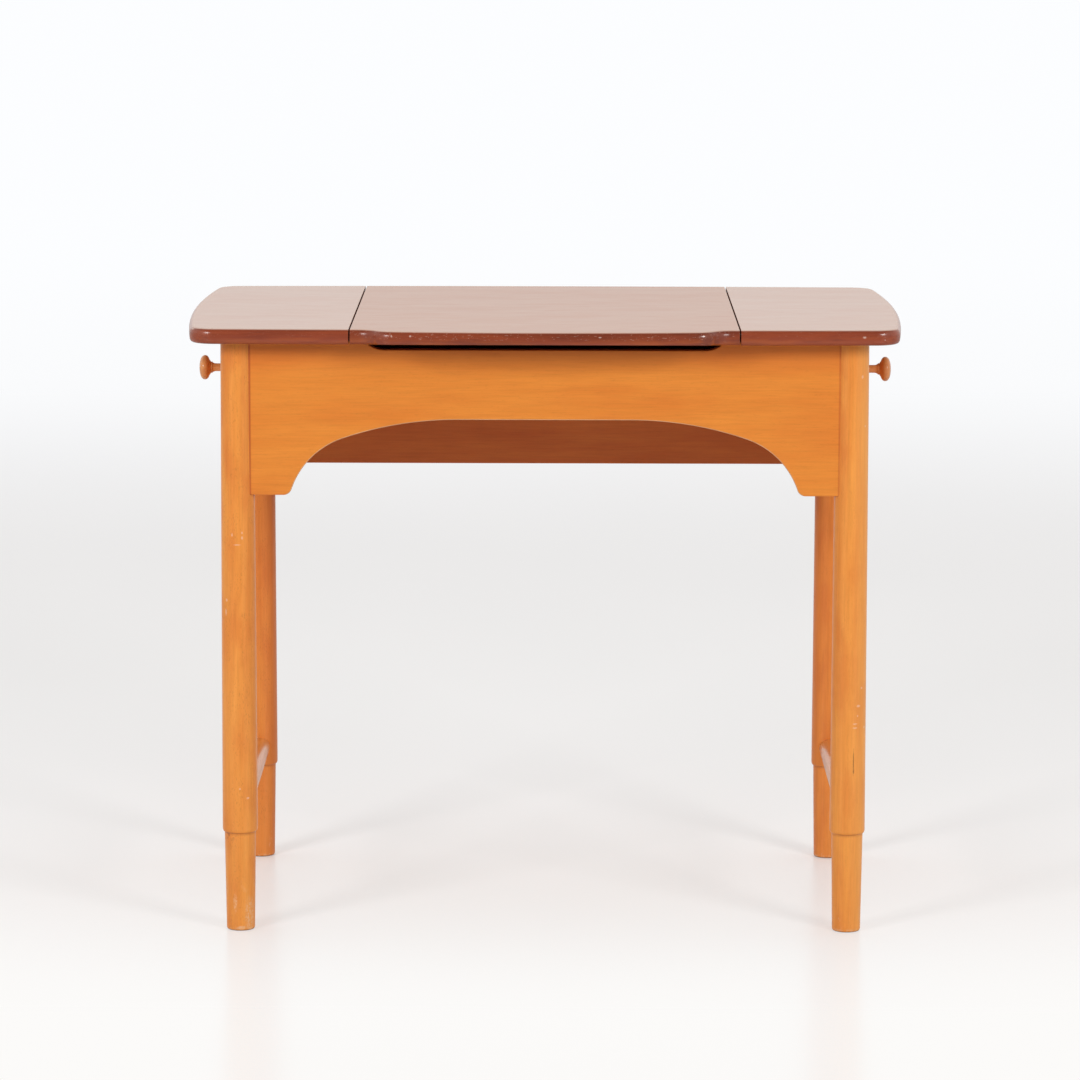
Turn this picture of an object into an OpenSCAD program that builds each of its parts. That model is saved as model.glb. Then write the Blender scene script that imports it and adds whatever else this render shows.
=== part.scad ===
// Dressing table on four turned legs. The middle of the top is a hinged flap that carries a mirror
// on its underside and closes over a shallow compartment. A drawer slides out of each end.
// Millimetres. The front faces -Y, and the origin is on the floor under the middle of the overall size.

/* [Overall size] */
// Greatest width of the top, across its bowed ends
top_w = 846; // [800:2:920]
// Depth of the top at its middle, without the lip of the flap
top_d = 532; // [500:2:580]
// Height of the table
table_h = 720; // [660:2:780]

/* [Top] */
// Thickness of the top
top_t = 18; // [16:0.5:24]
// How far each end bows out at its middle
end_bow = 14; // [8:1:20]
// How far the front and back edges bow out at their middle
edge_bow = 7.5; // [4:0.5:12]
// Radius of the four corners, seen from above
corner_r = 30; // [22:1:45]
// Radius that rounds the upper and lower arris all round
arris_r = 6; // [3:0.5:7]
// Distance between the middles of the two gaps beside the flap
flap_w = 452; // [440:2:500]
// Gap between the flap and each side panel
flap_gap = 1.6; // [1:0.1:3]
// Gap under the flap where it closes over the frame
flap_seat = 0.5; // [0.3:0.1:1]

/* [Lip of the flap] */
// How far the lip stands out in front of the side panels at its middle
lip_out = 30; // [26:1:36]
// How far the front edge of the lip bows out at its middle
lip_bow = 12; // [8:1:14]
// Distance from the gap to the shoulder of the lip
lip_inset = 25; // [24:1:34]
// Radius of both curves of the ogee that ends the lip
ogee_r = 28; // [16:0.5:30]

/* [Legs] */
// Distance from the widest point of the top to the axis of a leg
leg_inset_x = 64; // [55:1:80]
// Distance from the deepest point of the top to the axis of a leg
leg_inset_y = 60; // [50:1:75]
// Radius of a leg just above its step
leg_r = 20.8; // [20:0.1:24]
// Radius of a leg under the top
leg_top_r = 19.3; // [18:0.1:20]
// Radius of the foot just below the step
foot_top_r = 18.5; // [17.5:0.1:19.5]
// Radius of the foot at the floor
foot_r = 16.7; // [15:0.1:17.5]
// Height of the step above the floor
step_h = 118; // [100:1:126]
// Radius that rounds the step
step_round = 3; // [1:0.5:3]
// Radius that rounds the foot at the floor
foot_round = 2.5; // [1:0.5:4]

/* [Stretchers] */
// Radius of a stretcher
stretcher_r = 12; // [9:0.5:14]
// Height of the stretchers' axis above the floor
stretcher_z = 142.5; // [138:0.5:180]
// Radius of the round tenon at each end of a stretcher
stretcher_tenon_r = 6; // [4:0.5:8]

/* [Aprons and rails] */
// How far the aprons and end rails lie behind the round of the leg
face_setback = 6; // [4:0.1:7]
// Thickness of the front and back apron
apron_t = 18; // [16:0.5:20]
// Height of the front apron at its feet
front_apron_h = 181; // [172:1:200]
// Height of the front apron over the crown of its arch
crown_h = 92; // [86:1:100]
// Height of the back apron
back_apron_h = 199.5; // [185:0.5:215]
// Thickness of the end rails and the drawer fronts
rail_t = 18; // [15:0.5:20]
// Height of the end rail under a drawer
end_rail_h = 79; // [60:1:85]
// Thickness of the flat rail over a drawer
top_rail_t = 14; // [12:0.5:18]
// Width of the flat rail over a drawer
top_rail_w = 40; // [36:1:50]
// Thickness of the tenons on aprons and rails
tenon_t = 8; // [5:0.5:9]
// How far the tenons of aprons and end rails are cut back above and below
tenon_step = 10; // [6:1:16]

/* [Arch of the front apron] */
// Width of the arch between its two feet
arch_w = 610; // [560:2:630]
// Radius of the shoulder beside the straight crown
arch_shoulder_r = 416; // [380:2:450]
// How far the shoulder turns, in degrees
arch_shoulder_turn = 18.8; // [15:0.1:21]
// Radius of the haunch
arch_haunch_r = 96; // [85:1:105]
// Radius that rounds each foot of the arch
arch_foot_r = 10; // [6:1:12]

/* [Finger slot] */
// Depth of the slot in the top edge of the front apron
slot_h = 11.1; // [8:0.1:14]
// Distance from the gap beside the flap to the end of the slot's straight bottom
slot_inset = 39; // [36:1:50]
// Radius of the rising end of the slot
slot_end_r = 30; // [20:1:32]

/* [Compartment] */
// Thickness of the partitions under the two gaps
partition_t = 16; // [12:1:18]
// How deep the partitions are housed in the aprons
housing = 4; // [3:0.5:6]
// Thickness of the compartment floor
floor_t = 5; // [4:0.5:8]
// Side of the square cleats under the floor
floor_cleat = 12; // [10:1:16]
// Side of the square cleats beside the partitions
top_cleat = 14; // [12:1:16]

/* [Mirror] */
// Thickness of the glass
glass_t = 4; // [3:0.5:5]
// Width of the bead that holds the glass
bead_w = 12; // [9:1:16]
// Height of the bead
bead_h = 7; // [6:0.5:9]
// How far the bead laps over the glass
bead_lap = 5; // [3:0.5:6]
// Distance from the wall of the compartment to the bead
mirror_margin = 12; // [8:1:30]

/* [Hinges] */
// Distance from the middle of the table to the middle of a hinge
hinge_x = 150; // [100:2:180]
// Length of a hinge
hinge_len = 50; // [44:1:64]
// Width of a leaf from the pin's axis
leaf_w = 22; // [18:0.5:24]
// Thickness of a leaf
leaf_t = 1.5; // [1:0.1:1.8]
// Outer radius of the knuckles
knuckle_r = 3; // [2.6:0.1:3.4]
// Radius of the hinge pin
pin_r = 1.25; // [1:0.05:1.5]
// Length of the middle knuckle
knuckle_mid = 24; // [18:1:26]

/* [Drawers] */
// Gap beside a drawer where it passes between the legs
drawer_side_gap = 1.5; // [1:0.1:3]
// Gap above and below a drawer front
drawer_gap = 1.2; // [0.8:0.1:2]
// Gap between a closed drawer and the partition, which is its stop
drawer_back_gap = 0.4; // [0.3:0.1:4]
// Thickness of the drawer sides and back
drawer_side_t = 10; // [8:0.5:12]
// Height of the drawer sides
drawer_side_h = 70; // [55:1:76]
// Thickness of the drawer bottom
drawer_bottom_t = 4; // [3:0.5:6]
// Height of the groove for the bottom above the lower edge of the sides
drawer_groove_z = 7; // [6:0.5:12]
// Depth of the grooves for the bottom
drawer_groove = 5; // [3:0.5:6]
// Depth of the rebate that the sides sit in behind the front
drawer_rebate = 8; // [5:0.5:10]
// Height of the runner under a drawer side
runner_h = 12; // [10:1:18]
// Height of the guide on the runner, beside the drawer
guide_h = 14; // [10:1:20]
// How far the runner reaches under the drawer side
runner_lap = 12; // [8:1:16]

/* [Knobs] */
// Length of a knob from the drawer front
knob_len = 45.6; // [40:0.1:52]
// Radius of the knob's head
knob_r = 14.8; // [12:0.1:16]
// Thickness of the knob's head
knob_t = 13.2; // [10:0.1:14]
// Radius of the stem
stem_r = 4.8; // [4:0.1:5.5]
// Radius of the collar behind the head
collar_r = 7; // [6:0.1:8]
// Length of the collar behind the head
collar_len = 3.4; // [2:0.1:5]
// Radius of the stem where it meets the drawer front
knob_foot_r = 8; // [7:0.1:10]
// How far a knob sits above the middle of its drawer front
knob_rise = 2; // [-6:0.5:6]

/* [Screws] */
// Radius of the screws through the top rails and cleats, and of the knob screws
screw_r = 2; // [1.5:0.1:2.2]
// Radius of their heads
screw_head_r = 4; // [3.5:0.1:4.5]
// Height of their heads
screw_head_h = 2.4; // [2:0.1:3]
// How far the top screws reach into the side panels
screw_bite = 10; // [8:0.5:12]
// Distance of the top screws from the middle of the table
screw_y = 110; // [80:2:140]
// Radius of the hinge screws
hinge_screw_r = 1.6; // [1.2:0.1:1.8]
// Radius of the hinge screws' countersunk heads
hinge_head_r = 3.1; // [2.6:0.1:3.4]
// Length of the hinge screws
hinge_screw_len = 12; // [8:0.5:13]

/* [Hidden] */
$fn = 64;

beech = [0.87, 0.56, 0.28];
beech_shade = [0.62, 0.33, 0.18];
mahogany = [0.53, 0.25, 0.18];
plywood = [0.80, 0.64, 0.44];
brass = [0.72, 0.56, 0.28];
silvered = [0.80, 0.85, 0.88];

// Clearances: a scribed shoulder on a leg, a tenon in its mortise, a board in its groove,
// a drawer side on its runner, a drawer side beside its guide, a pin or screw in its hole
scribe_gap = 0.1;
mortise_gap = 0.1;
groove_gap = 0.1;
runner_gap = 0.3;
guide_gap = 0.5;
bore_gap = 0.05;
// Extra length that carries a cut through a face
through = 1;

// Axes of the legs, and the level of the frame's upper edge
leg_x = top_w / 2 - leg_inset_x;
leg_y = top_d / 2 - leg_inset_y;
frame_top = table_h - top_t;
// The legs stand about a line behind the middle of the overall depth, which takes in the lip
mid_y = lip_out / 2;

// Outer and inner faces of the aprons in Y, and of the end rails in X
face = leg_top_r - face_setback;
apron_out = leg_y + face;
apron_in = apron_out - apron_t;
rail_out = leg_x + face;
rail_in = rail_out - rail_t;

// Levels of the frame's parts
apron_bottom = frame_top - front_apron_h;
crown_z = frame_top - crown_h;
back_bottom = frame_top - back_apron_h;
end_rail_top = apron_bottom + end_rail_h;
top_rail_bottom = frame_top - top_rail_t;
floor_bottom = crown_z + floor_cleat;
floor_top = floor_bottom + floor_t;

// Faces of the right partition in X
part_in = flap_w / 2 - partition_t / 2;
part_out = flap_w / 2 + partition_t / 2;

// The underside of the flap and the axis of its hinges
flap_bottom = frame_top + flap_seat;
pin_y = apron_out + knuckle_r;
pin_z = flap_bottom - knuckle_r;

// The right drawer: half width, rear end, lower edge of the sides, edges of the front
drawer_half = leg_y - leg_radius(end_rail_top) - drawer_side_gap;
drawer_end = part_out + drawer_back_gap;
drawer_low = end_rail_top + runner_gap;
front_low = end_rail_top + drawer_gap;
front_high = top_rail_bottom - drawer_gap;
knob_z = (front_low + front_high) / 2 + knob_rise;
bottom_z = drawer_low + drawer_groove_z;

// Half sizes of the mirror glass, inside the beads
bead_out_x = part_in - mirror_margin;
bead_out_y = apron_in - mirror_margin;
glass_x = bead_out_x - bead_w + bead_lap;
glass_y = bead_out_y - bead_w + bead_lap;

// How near the tenons of the aprons and rails come to the axis of the leg
tenon_stop = 1.5;
stretcher_stop = 5;
// Counterbore of the top screws
screw_sink = 3;
// How far the knob screw reaches into the knob
knob_bite = 12;
// How far a countersunk screw lies from the end of its hinge
hinge_screw_inset = 7;
// Gap between neighbouring knuckles, and round a knuckle in the other leaf
knuckle_gap = 0.4;

// Geometry of arcs

// Radius of the arc that rises by sag over a half chord
function arc_radius(half, sag) = (half * half + sag * sag) / (2 * sag);

// Points along an arc without its last point
function arc(c, r, a0, a1, n) = [
    for (i = [0 : n - 1]) c + r * [cos(a0 + (a1 - a0) * i / n), sin(a0 + (a1 - a0) * i / n)]
];

// Angle of the direction from a to b
function bearing(a, b) = atan2(b[1] - a[1], b[0] - a[0]);

// Point at distance ra from a and rb from b, on the right of the way from a to b
function meet(a, ra, b, rb) =
    let (d = norm(b - a), u = (b - a) / d, x = (d * d + ra * ra - rb * rb) / (2 * d))
    a + u * x + sqrt(ra * ra - x * x) * [u[1], -u[0]];

function flip_x(points) = [for (i = [len(points) - 1 : -1 : 0]) [-points[i][0], points[i][1]]];

// Outline of the top

edge_r = arc_radius(top_w / 2, edge_bow);
end_r = arc_radius(top_d / 2, end_bow);
lip_r = arc_radius(flap_w / 2 - lip_inset, lip_bow);
front_c = [0, edge_r - top_d / 2];
back_c = -front_c;
end_c = [top_w / 2 - end_r, 0];
lip_c = [0, lip_r - top_d / 2 - lip_out];
// The shoulder touches the lip from inside, and the hollow touches the shoulder and the front edge
shoulder_x = flap_w / 2 - lip_inset - ogee_r;
shoulder_c = [shoulder_x, lip_c[1] - sqrt(pow(lip_r - ogee_r, 2) - shoulder_x * shoulder_x)];
hollow_c = meet(shoulder_c, 2 * ogee_r, front_c, edge_r + ogee_r);
corner_c = meet(end_c, end_r - corner_r, front_c, edge_r - corner_r);
back_corner_c = [corner_c[0], -corner_c[1]];

// Right half of the outline, from the front to the back, drawn in by e
function top_half(e) = concat(
    arc(lip_c, lip_r - e, -90, bearing(lip_c, shoulder_c), 8),
    arc(shoulder_c, ogee_r - e, bearing(lip_c, shoulder_c), bearing(shoulder_c, hollow_c), 6),
    arc(hollow_c, ogee_r + e, bearing(hollow_c, shoulder_c), bearing(hollow_c, front_c), 6),
    arc(front_c, edge_r - e, bearing(front_c, hollow_c), bearing(front_c, corner_c), 4),
    arc(corner_c, corner_r - e, bearing(front_c, corner_c), bearing(end_c, corner_c), 8),
    arc(end_c, end_r - e, bearing(end_c, corner_c), -bearing(end_c, corner_c), 12),
    arc(back_corner_c, corner_r - e, -bearing(end_c, corner_c), -bearing(front_c, corner_c), 8),
    arc(back_c, edge_r - e, -bearing(front_c, corner_c), 90, 8)
);

function top_outline(e) =
    let (half = top_half(e))
    concat(half, [[0, top_d / 2 - e]], [for (i = [len(half) - 1 : -1 : 1]) [-half[i][0], half[i][1]]]);

// Rounded edge as pairs of inset and level, from the underside to the upper face
round_steps = 4;
function edge_profile(low, high) = concat(
    [for (i = [0 : round_steps]) let (a = 90 * i / round_steps)
        [arris_r * (1 - sin(a)), low + arris_r * (1 - cos(a))]],
    [for (i = [0 : round_steps]) let (a = 90 * i / round_steps)
        [arris_r * (1 - cos(a)), high - arris_r * (1 - sin(a))]]
);

// The whole top as one board with its lip, before it is cut at the gaps
module top_blank(low, high) {
    levels = edge_profile(low, high);
    n = len(top_outline(0));
    last = len(levels) - 1;
    points = [for (level = levels) for (p = top_outline(level[0])) [p[0], p[1], level[1]]];
    sides = [for (k = [0 : last - 1]) for (i = [0 : n - 1]) let (j = (i + 1) % n)
        [k * n + i, (k + 1) * n + i, (k + 1) * n + j, k * n + j]];
    lower = [for (i = [0 : n - 1]) i];
    upper = [for (i = [n - 1 : -1 : 0]) last * n + i];
    polyhedron(points, concat(sides, [lower, upper]));
}

// Placing

// Moves the legs' middle behind the middle of the overall depth
module placed() {
    translate([0, mid_y, 0]) children();
}

// Draws a right-hand part for s = 1 and its left-hand twin for s = -1
module on_side(s) {
    mirror([s < 0 ? 1 : 0, 0, 0]) children();
}

// Draws a back part for f = 1 and its front twin for f = -1
module at_edge(f) {
    mirror([0, f < 0 ? 1 : 0, 0]) children();
}

module box(low, high) {
    translate(low) cube(high - low);
}

// Legs and stretchers

function leg_radius(z) = leg_r + (leg_top_r - leg_r) * (z - step_h) / (frame_top - step_h);

module leg_turning(grow = 0) {
    foot = [for (i = [0 : 4]) let (a = 90 * i / 4)
        [foot_r - foot_round * (1 - sin(a)), foot_round * (1 - cos(a))]];
    step = [for (i = [0 : 4]) let (a = 90 * i / 4)
        [leg_r - step_round * (1 - sin(a)), step_h + step_round * (1 - cos(a))]];
    turned = concat(foot, [[foot_top_r, step_h]], step, [[leg_top_r, frame_top]]);
    outline = concat([[0, 0]], [for (p = turned) [p[0] + grow, p[1]]], [[0, frame_top]]);
    rotate_extrude() polygon(outline);
}

module legs_turned(grow) {
    for (s = [-1, 1])
        for (f = [-1, 1])
            translate([s * leg_x, f * leg_y, 0]) leg_turning(grow);
}

// Tenon that runs in X from an apron into the right leg, and one in Y from a rail into the back leg
module tenon_x(low, high, grow = 0) {
    mid = (apron_out + apron_in) / 2;
    box([leg_x - leg_r - 4, mid - tenon_t / 2 - grow, low - grow],
        [leg_x - tenon_stop + grow, mid + tenon_t / 2 + grow, high + grow]);
}

module tenon_y(low, high, grow = 0) {
    mid = (rail_out + rail_in) / 2;
    box([mid - tenon_t / 2 - grow, leg_y - leg_r - 4, low - grow],
        [mid + tenon_t / 2 + grow, leg_y - tenon_stop + grow, high + grow]);
}

module end_rail_tenon(grow = 0) {
    tenon_y(apron_bottom + tenon_step, end_rail_top - tenon_step, grow);
}

module top_rail_tenon(grow = 0) {
    tenon_y(top_rail_bottom + top_rail_t / 4, frame_top - top_rail_t / 4, grow);
}

// The leg of side s and edge f
module leg(s, f) {
    apron_low = f < 0 ? apron_bottom : back_bottom;
    color(beech) on_side(s) at_edge(f) difference() {
        translate([leg_x, leg_y, 0]) leg_turning();
        tenon_x(apron_low + tenon_step, frame_top - tenon_step, mortise_gap);
        end_rail_tenon(mortise_gap);
        top_rail_tenon(mortise_gap);
        translate([leg_x, leg_y - stretcher_stop, stretcher_z]) rotate([90, 0, 0])
            cylinder(r = stretcher_tenon_r + bore_gap, h = leg_r + through);
    }
}

module stretcher(s) {
    tenon_end = leg_y - stretcher_stop - mortise_gap;
    color(beech) on_side(s) union() {
        difference() {
            translate([leg_x, leg_y, stretcher_z]) rotate([90, 0, 0]) cylinder(r = stretcher_r, h = 2 * leg_y);
            legs_turned(scribe_gap);
        }
        translate([leg_x, tenon_end, stretcher_z]) rotate([90, 0, 0])
            cylinder(r = stretcher_tenon_r, h = 2 * tenon_end);
    }
}

// Front and back apron

// Right half of the arch, from the end of its straight crown to the bottom of its foot
arch_turn_c_z = crown_z - arch_shoulder_r + (arch_shoulder_r - arch_haunch_r) * cos(arch_shoulder_turn);
arch_end_turn = acos((apron_bottom + arch_foot_r - arch_turn_c_z) / (arch_haunch_r + arch_foot_r));
arch_flat = arch_w / 2 - (arch_shoulder_r - arch_haunch_r) * sin(arch_shoulder_turn)
    - (arch_haunch_r + arch_foot_r) * sin(arch_end_turn);
arch_haunch_x = arch_w / 2 - (arch_haunch_r + arch_foot_r) * sin(arch_end_turn);
arch_half = concat(
    arc([arch_flat, crown_z - arch_shoulder_r], arch_shoulder_r, 90, 90 - arch_shoulder_turn, 8),
    arc([arch_haunch_x, arch_turn_c_z], arch_haunch_r, 90 - arch_shoulder_turn, 90 - arch_end_turn, 12),
    arc([arch_w / 2, apron_bottom + arch_foot_r], arch_foot_r, 270 - arch_end_turn, 270, 6),
    [[arch_w / 2, apron_bottom]]
);

// Right half of the finger slot, from its upper corner to the end of its straight bottom
slot_flat = flap_w / 2 - slot_inset;
slot_turn = acos((slot_end_r - slot_h) / slot_end_r);
slot_half = concat(
    arc([slot_flat, frame_top - slot_h + slot_end_r], slot_end_r, 270 + slot_turn, 270, 8),
    [[slot_flat, frame_top - slot_h]]
);

module front_apron_outline() {
    polygon(concat(
        [[-leg_x, apron_bottom]], flip_x(arch_half), arch_half, [[leg_x, apron_bottom]],
        [[leg_x, frame_top]], slot_half, flip_x(slot_half), [[-leg_x, frame_top]]
    ));
}

// Housings in the inner face of the back apron for the ends of the partitions
module partition_housings() {
    for (s = [-1, 1])
        on_side(s) box([part_in - groove_gap, apron_in - through, crown_z - groove_gap],
            [part_out + groove_gap, apron_in + housing, frame_top + through]);
}

module front_apron() {
    color(beech) difference() {
        union() {
            difference() {
                translate([0, -apron_in, 0]) rotate([90, 0, 0]) linear_extrude(apron_t) front_apron_outline();
                legs_turned(scribe_gap);
            }
            for (s = [-1, 1])
                on_side(s) at_edge(-1) tenon_x(apron_bottom + tenon_step, frame_top - tenon_step);
        }
        at_edge(-1) partition_housings();
    }
}

module back_apron() {
    color(beech_shade) difference() {
        union() {
            difference() {
                box([-leg_x, apron_in, back_bottom], [leg_x, apron_out, frame_top]);
                legs_turned(scribe_gap);
            }
            for (s = [-1, 1])
                on_side(s) tenon_x(back_bottom + tenon_step, frame_top - tenon_step);
        }
        partition_housings();
        for (s = [-1, 1])
            frame_leaf_screws(s, bore_gap);
    }
}

// Rails at each end

module end_rail(s) {
    color(beech) on_side(s) union() {
        difference() {
            box([rail_in, -leg_y, apron_bottom], [rail_out, leg_y, end_rail_top]);
            legs_turned(scribe_gap);
        }
        for (f = [-1, 1])
            at_edge(f) end_rail_tenon();
    }
}

// Places of the screws that hold a side panel: through the top rail and through the top cleat
rail_screw_x = rail_out - top_rail_w + 11;
cleat_screw_x = part_out + top_cleat / 2;

module top_rail(s) {
    color(beech) on_side(s) difference() {
        union() {
            difference() {
                box([rail_out - top_rail_w, -apron_in, top_rail_bottom], [rail_out, apron_in, frame_top]);
                legs_turned(scribe_gap);
            }
            for (f = [-1, 1])
                at_edge(f) top_rail_tenon();
        }
        for (f = [-1, 1])
            translate([rail_screw_x, f * screw_y, top_rail_bottom]) top_screw_hole(top_rail_t);
    }
}

// Compartment under the flap

module partition(s) {
    color(beech_shade) on_side(s)
        box([part_in, -apron_in - housing + groove_gap, crown_z],
            [part_out, apron_in + housing - groove_gap, frame_top]);
}

module compartment_floor() {
    x = part_in - groove_gap;
    y = apron_in - groove_gap;
    color(plywood) box([-x, -y, floor_bottom], [x, y, floor_top]);
}

module floor_cleat_bar(f) {
    color(beech_shade) at_edge(f)
        box([-part_in, apron_in - floor_cleat, crown_z], [part_in, apron_in, floor_bottom]);
}

module top_cleat_bar(s) {
    color(beech_shade) on_side(s) difference() {
        box([part_out, -apron_in, frame_top - top_cleat], [part_out + top_cleat, apron_in, frame_top]);
        for (f = [-1, 1])
            translate([cleat_screw_x, f * screw_y, frame_top - top_cleat]) top_screw_hole(top_cleat);
    }
}

// Runner of the drawer on side s along the apron at edge f, an L that the drawer side runs on
module runner(s, f) {
    color(beech_shade) on_side(s) at_edge(f) difference() {
        union() {
            box([part_out, drawer_half - runner_lap, end_rail_top - runner_h], [rail_in, apron_in, end_rail_top]);
            box([part_out, drawer_half + guide_gap, end_rail_top], [rail_in, apron_in, end_rail_top + guide_h]);
        }
        legs_turned(scribe_gap);
    }
}

// Top

module top_panel(s) {
    color(mahogany) on_side(s) difference() {
        intersection() {
            top_blank(frame_top, table_h);
            box([flap_w / 2 + flap_gap / 2, -top_d, 0], [top_w, top_d, table_h + through]);
        }
        for (f = [-1, 1])
            for (x = [rail_screw_x, cleat_screw_x])
                translate([x, f * screw_y, frame_top - through])
                    cylinder(r = screw_r + bore_gap, h = screw_bite + through + bore_gap);
    }
}

// Hole through a board of thickness t, with a counterbore below for the head
module top_screw_hole(t) {
    translate([0, 0, -through]) cylinder(r = screw_r + bore_gap, h = t + 2 * through);
    translate([0, 0, -through]) cylinder(r = screw_head_r + 4 * bore_gap, h = screw_sink + through);
}

module top_screw(t) {
    translate([0, 0, screw_sink - screw_head_h]) cylinder(r = screw_head_r, h = screw_head_h);
    translate([0, 0, screw_sink]) cylinder(r = screw_r, h = t - screw_sink + screw_bite);
}

module top_screws() {
    color(brass)
        for (s = [-1, 1])
            for (f = [-1, 1])
                on_side(s) {
                    translate([rail_screw_x, f * screw_y, top_rail_bottom]) top_screw(top_rail_t);
                    translate([cleat_screw_x, f * screw_y, frame_top - top_cleat]) top_screw(top_cleat);
                }
}

// Flap with its mirror

module centre_flap() {
    half = flap_w / 2 - flap_gap / 2;
    color(mahogany) difference() {
        intersection() {
            top_blank(flap_bottom, table_h);
            box([-half, -top_d, 0], [half, top_d, table_h + through]);
        }
        for (s = [-1, 1])
            flap_leaf_screws(s, bore_gap);
    }
}

module mirror_glass() {
    color(silvered) box([-glass_x, -glass_y, flap_bottom - glass_t], [glass_x, glass_y, flap_bottom]);
}

// Bead whose outer face lies at distance out, mitred at both ends, with its half length along that face
module bead(out, along) {
    translate([0, 0, flap_bottom - bead_h]) linear_extrude(bead_h) polygon([
        [out, -along], [out, along], [out - bead_w, along - bead_w], [out - bead_w, bead_w - along]
    ]);
}

module mirror_bead_x(s) {
    color(mahogany) on_side(s) difference() {
        bead(bead_out_x, bead_out_y);
        mirror_recess();
    }
}

module mirror_bead_y(f) {
    color(mahogany) at_edge(f) difference() {
        rotate([0, 0, 90]) bead(bead_out_y, bead_out_x);
        mirror_recess();
    }
}

// Room for the glass and its clearance, behind the laps of the beads
module mirror_recess() {
    x = glass_x + groove_gap;
    y = glass_y + groove_gap;
    box([-x, -y, flap_bottom - glass_t - groove_gap], [x, y, flap_bottom + through]);
}

// Hinges

// Leaf lying flat behind the pin's axis along X, with knuckles over the spans and room for the other
// leaf's knuckles over the gaps
module leaf(spans, gaps, bore) {
    difference() {
        union() {
            box([-hinge_len / 2, 0, knuckle_r - leaf_t], [hinge_len / 2, leaf_w, knuckle_r]);
            for (span = spans)
                translate([span[0], 0, 0]) rotate([0, 90, 0]) cylinder(r = knuckle_r, h = span[1] - span[0]);
        }
        for (gap = gaps)
            translate([gap[0], 0, 0]) rotate([0, 90, 0])
                cylinder(r = knuckle_r + knuckle_gap, h = gap[1] - gap[0]);
        translate([-hinge_len, 0, 0]) rotate([0, 90, 0]) cylinder(r = bore, h = 2 * hinge_len);
    }
}

knuckle_edge = knuckle_mid / 2;
hinge_half = hinge_len / 2;
outer_spans = [[-hinge_half, -knuckle_edge - knuckle_gap], [knuckle_edge + knuckle_gap, hinge_half]];
outer_gaps = [[-hinge_half - through, -knuckle_edge], [knuckle_edge, hinge_half + through]];
middle_span = [[-knuckle_edge, knuckle_edge]];
middle_gap = [[-knuckle_edge - knuckle_gap, knuckle_edge + knuckle_gap]];

module at_hinge(s) {
    translate([s * hinge_x, pin_y, pin_z]) children();
}

module flap_leaf(s) {
    color(brass) difference() {
        at_hinge(s) leaf(middle_span, outer_gaps, pin_r + bore_gap);
        flap_leaf_screws(s, bore_gap);
    }
}

// The leaf on the back apron hangs down from the pin with its back against the apron
module frame_leaf(s) {
    color(brass) difference() {
        at_hinge(s) rotate([-90, 0, 0]) mirror([0, 0, 1]) leaf(outer_spans, middle_gap, pin_r + bore_gap);
        frame_leaf_screws(s, bore_gap);
    }
}

module hinge_pin(s) {
    color(brass) at_hinge(s) translate([-hinge_half, 0, 0]) rotate([0, 90, 0]) cylinder(r = pin_r, h = hinge_len);
}

// Countersunk screw pointing up, its flat head level with the origin
module hinge_screw(grow = 0) {
    cylinder(r1 = hinge_head_r + grow, r2 = hinge_screw_r + grow, h = leaf_t);
    cylinder(r = hinge_screw_r + grow, h = hinge_screw_len + grow);
}

hinge_screw_x = hinge_half - hinge_screw_inset;
hinge_screw_out = knuckle_r + (leaf_w - knuckle_r) / 2;

module flap_leaf_screws(s, grow = 0) {
    for (x = [-hinge_screw_x, hinge_screw_x])
        at_hinge(s) translate([x, hinge_screw_out, knuckle_r - leaf_t]) hinge_screw(grow);
}

module frame_leaf_screws(s, grow = 0) {
    for (x = [-hinge_screw_x, hinge_screw_x])
        at_hinge(s) translate([x, leaf_t - knuckle_r, -hinge_screw_out]) rotate([90, 0, 0]) hinge_screw(grow);
}

module hinge_screws_flap() {
    color(brass)
        for (s = [-1, 1])
            flap_leaf_screws(s);
}

module hinge_screws_frame() {
    color(brass)
        for (s = [-1, 1])
            frame_leaf_screws(s);
}

// Drawers, drawn for the right end

side_in = drawer_half - drawer_side_t;
side_high = drawer_low + drawer_side_h;

module drawer_front(s) {
    color(beech) on_side(s) difference() {
        box([rail_in, -drawer_half, front_low], [rail_out, drawer_half, front_high]);
        for (f = [-1, 1])
            at_edge(f) box([rail_in - through, side_in - groove_gap, front_low - through],
                [rail_in + drawer_rebate, drawer_half + through, side_high + groove_gap]);
        box([rail_in - through, -side_in - through, bottom_z - groove_gap],
            [rail_in + drawer_groove, side_in + through, bottom_z + drawer_bottom_t + groove_gap]);
        translate([rail_in - through, 0, knob_z]) rotate([0, 90, 0])
            cylinder(r = screw_r + 2 * bore_gap, h = rail_t + 2 * through);
    }
}

module drawer_side(s, f) {
    color(plywood) on_side(s) at_edge(f) difference() {
        box([drawer_end, side_in, drawer_low], [rail_in + drawer_rebate - groove_gap, drawer_half, side_high]);
        box([drawer_end - through, side_in - through, bottom_z - groove_gap],
            [rail_out, side_in + drawer_groove, bottom_z + drawer_bottom_t + groove_gap]);
    }
}

module drawer_back(s) {
    y = side_in - groove_gap;
    color(plywood) on_side(s)
        box([drawer_end, -y, bottom_z + drawer_bottom_t], [drawer_end + drawer_side_t, y, side_high]);
}

module drawer_bottom(s) {
    y = side_in + drawer_groove - groove_gap;
    color(plywood) on_side(s)
        box([drawer_end, -y, bottom_z], [rail_in + drawer_groove - groove_gap, y, bottom_z + drawer_bottom_t]);
}

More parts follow.
